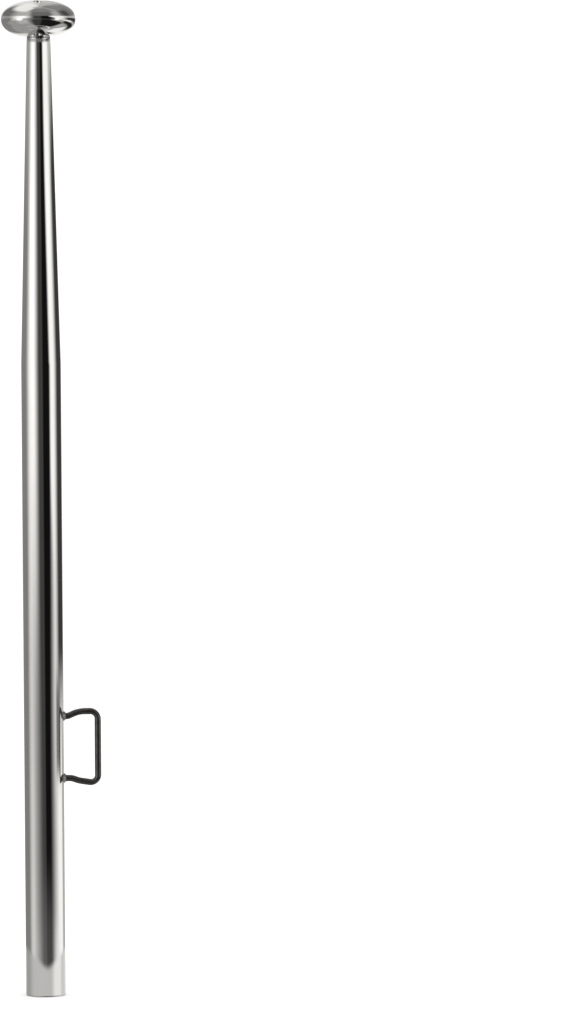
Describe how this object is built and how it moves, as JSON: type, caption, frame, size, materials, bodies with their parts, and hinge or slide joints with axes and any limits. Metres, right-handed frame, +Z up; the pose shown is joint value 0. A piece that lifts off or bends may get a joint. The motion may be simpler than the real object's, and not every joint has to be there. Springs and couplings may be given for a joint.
{
  "type": "boat flagstaff",
  "caption": "Short polished stainless flagstaff with a tapered top, a round drilled truck and a side loop for the halyard; it drops into a socket.",
  "frame": {"origin": "centre of the tube's lower end, on the flat ring that rests in the socket", "axes": "+Z up along the staff, +X towards the halyard loop"},
  "size_m": [0.0595, 0.047, 0.627],
  "materials": {
    "polished_tube": "mirror-polished stainless steel",
    "polished_truck": "mirror-polished stainless steel, turned",
    "bent_rod": "drawn and tumbled stainless rod",
    "weld": "brushed weld bead",
    "stud": "plain stainless stud"
  },
  "bodies": {
    "root": {"straight_tube": "polished_tube", "tapered_tube": "polished_tube", "top_plug": "polished_truck", "truck_stud": "stud", "truck": "polished_truck", "halyard_loop": "bent_rod", "upper_loop_weld": "weld", "lower_loop_weld": "weld"}
  },
  "joints": []
}
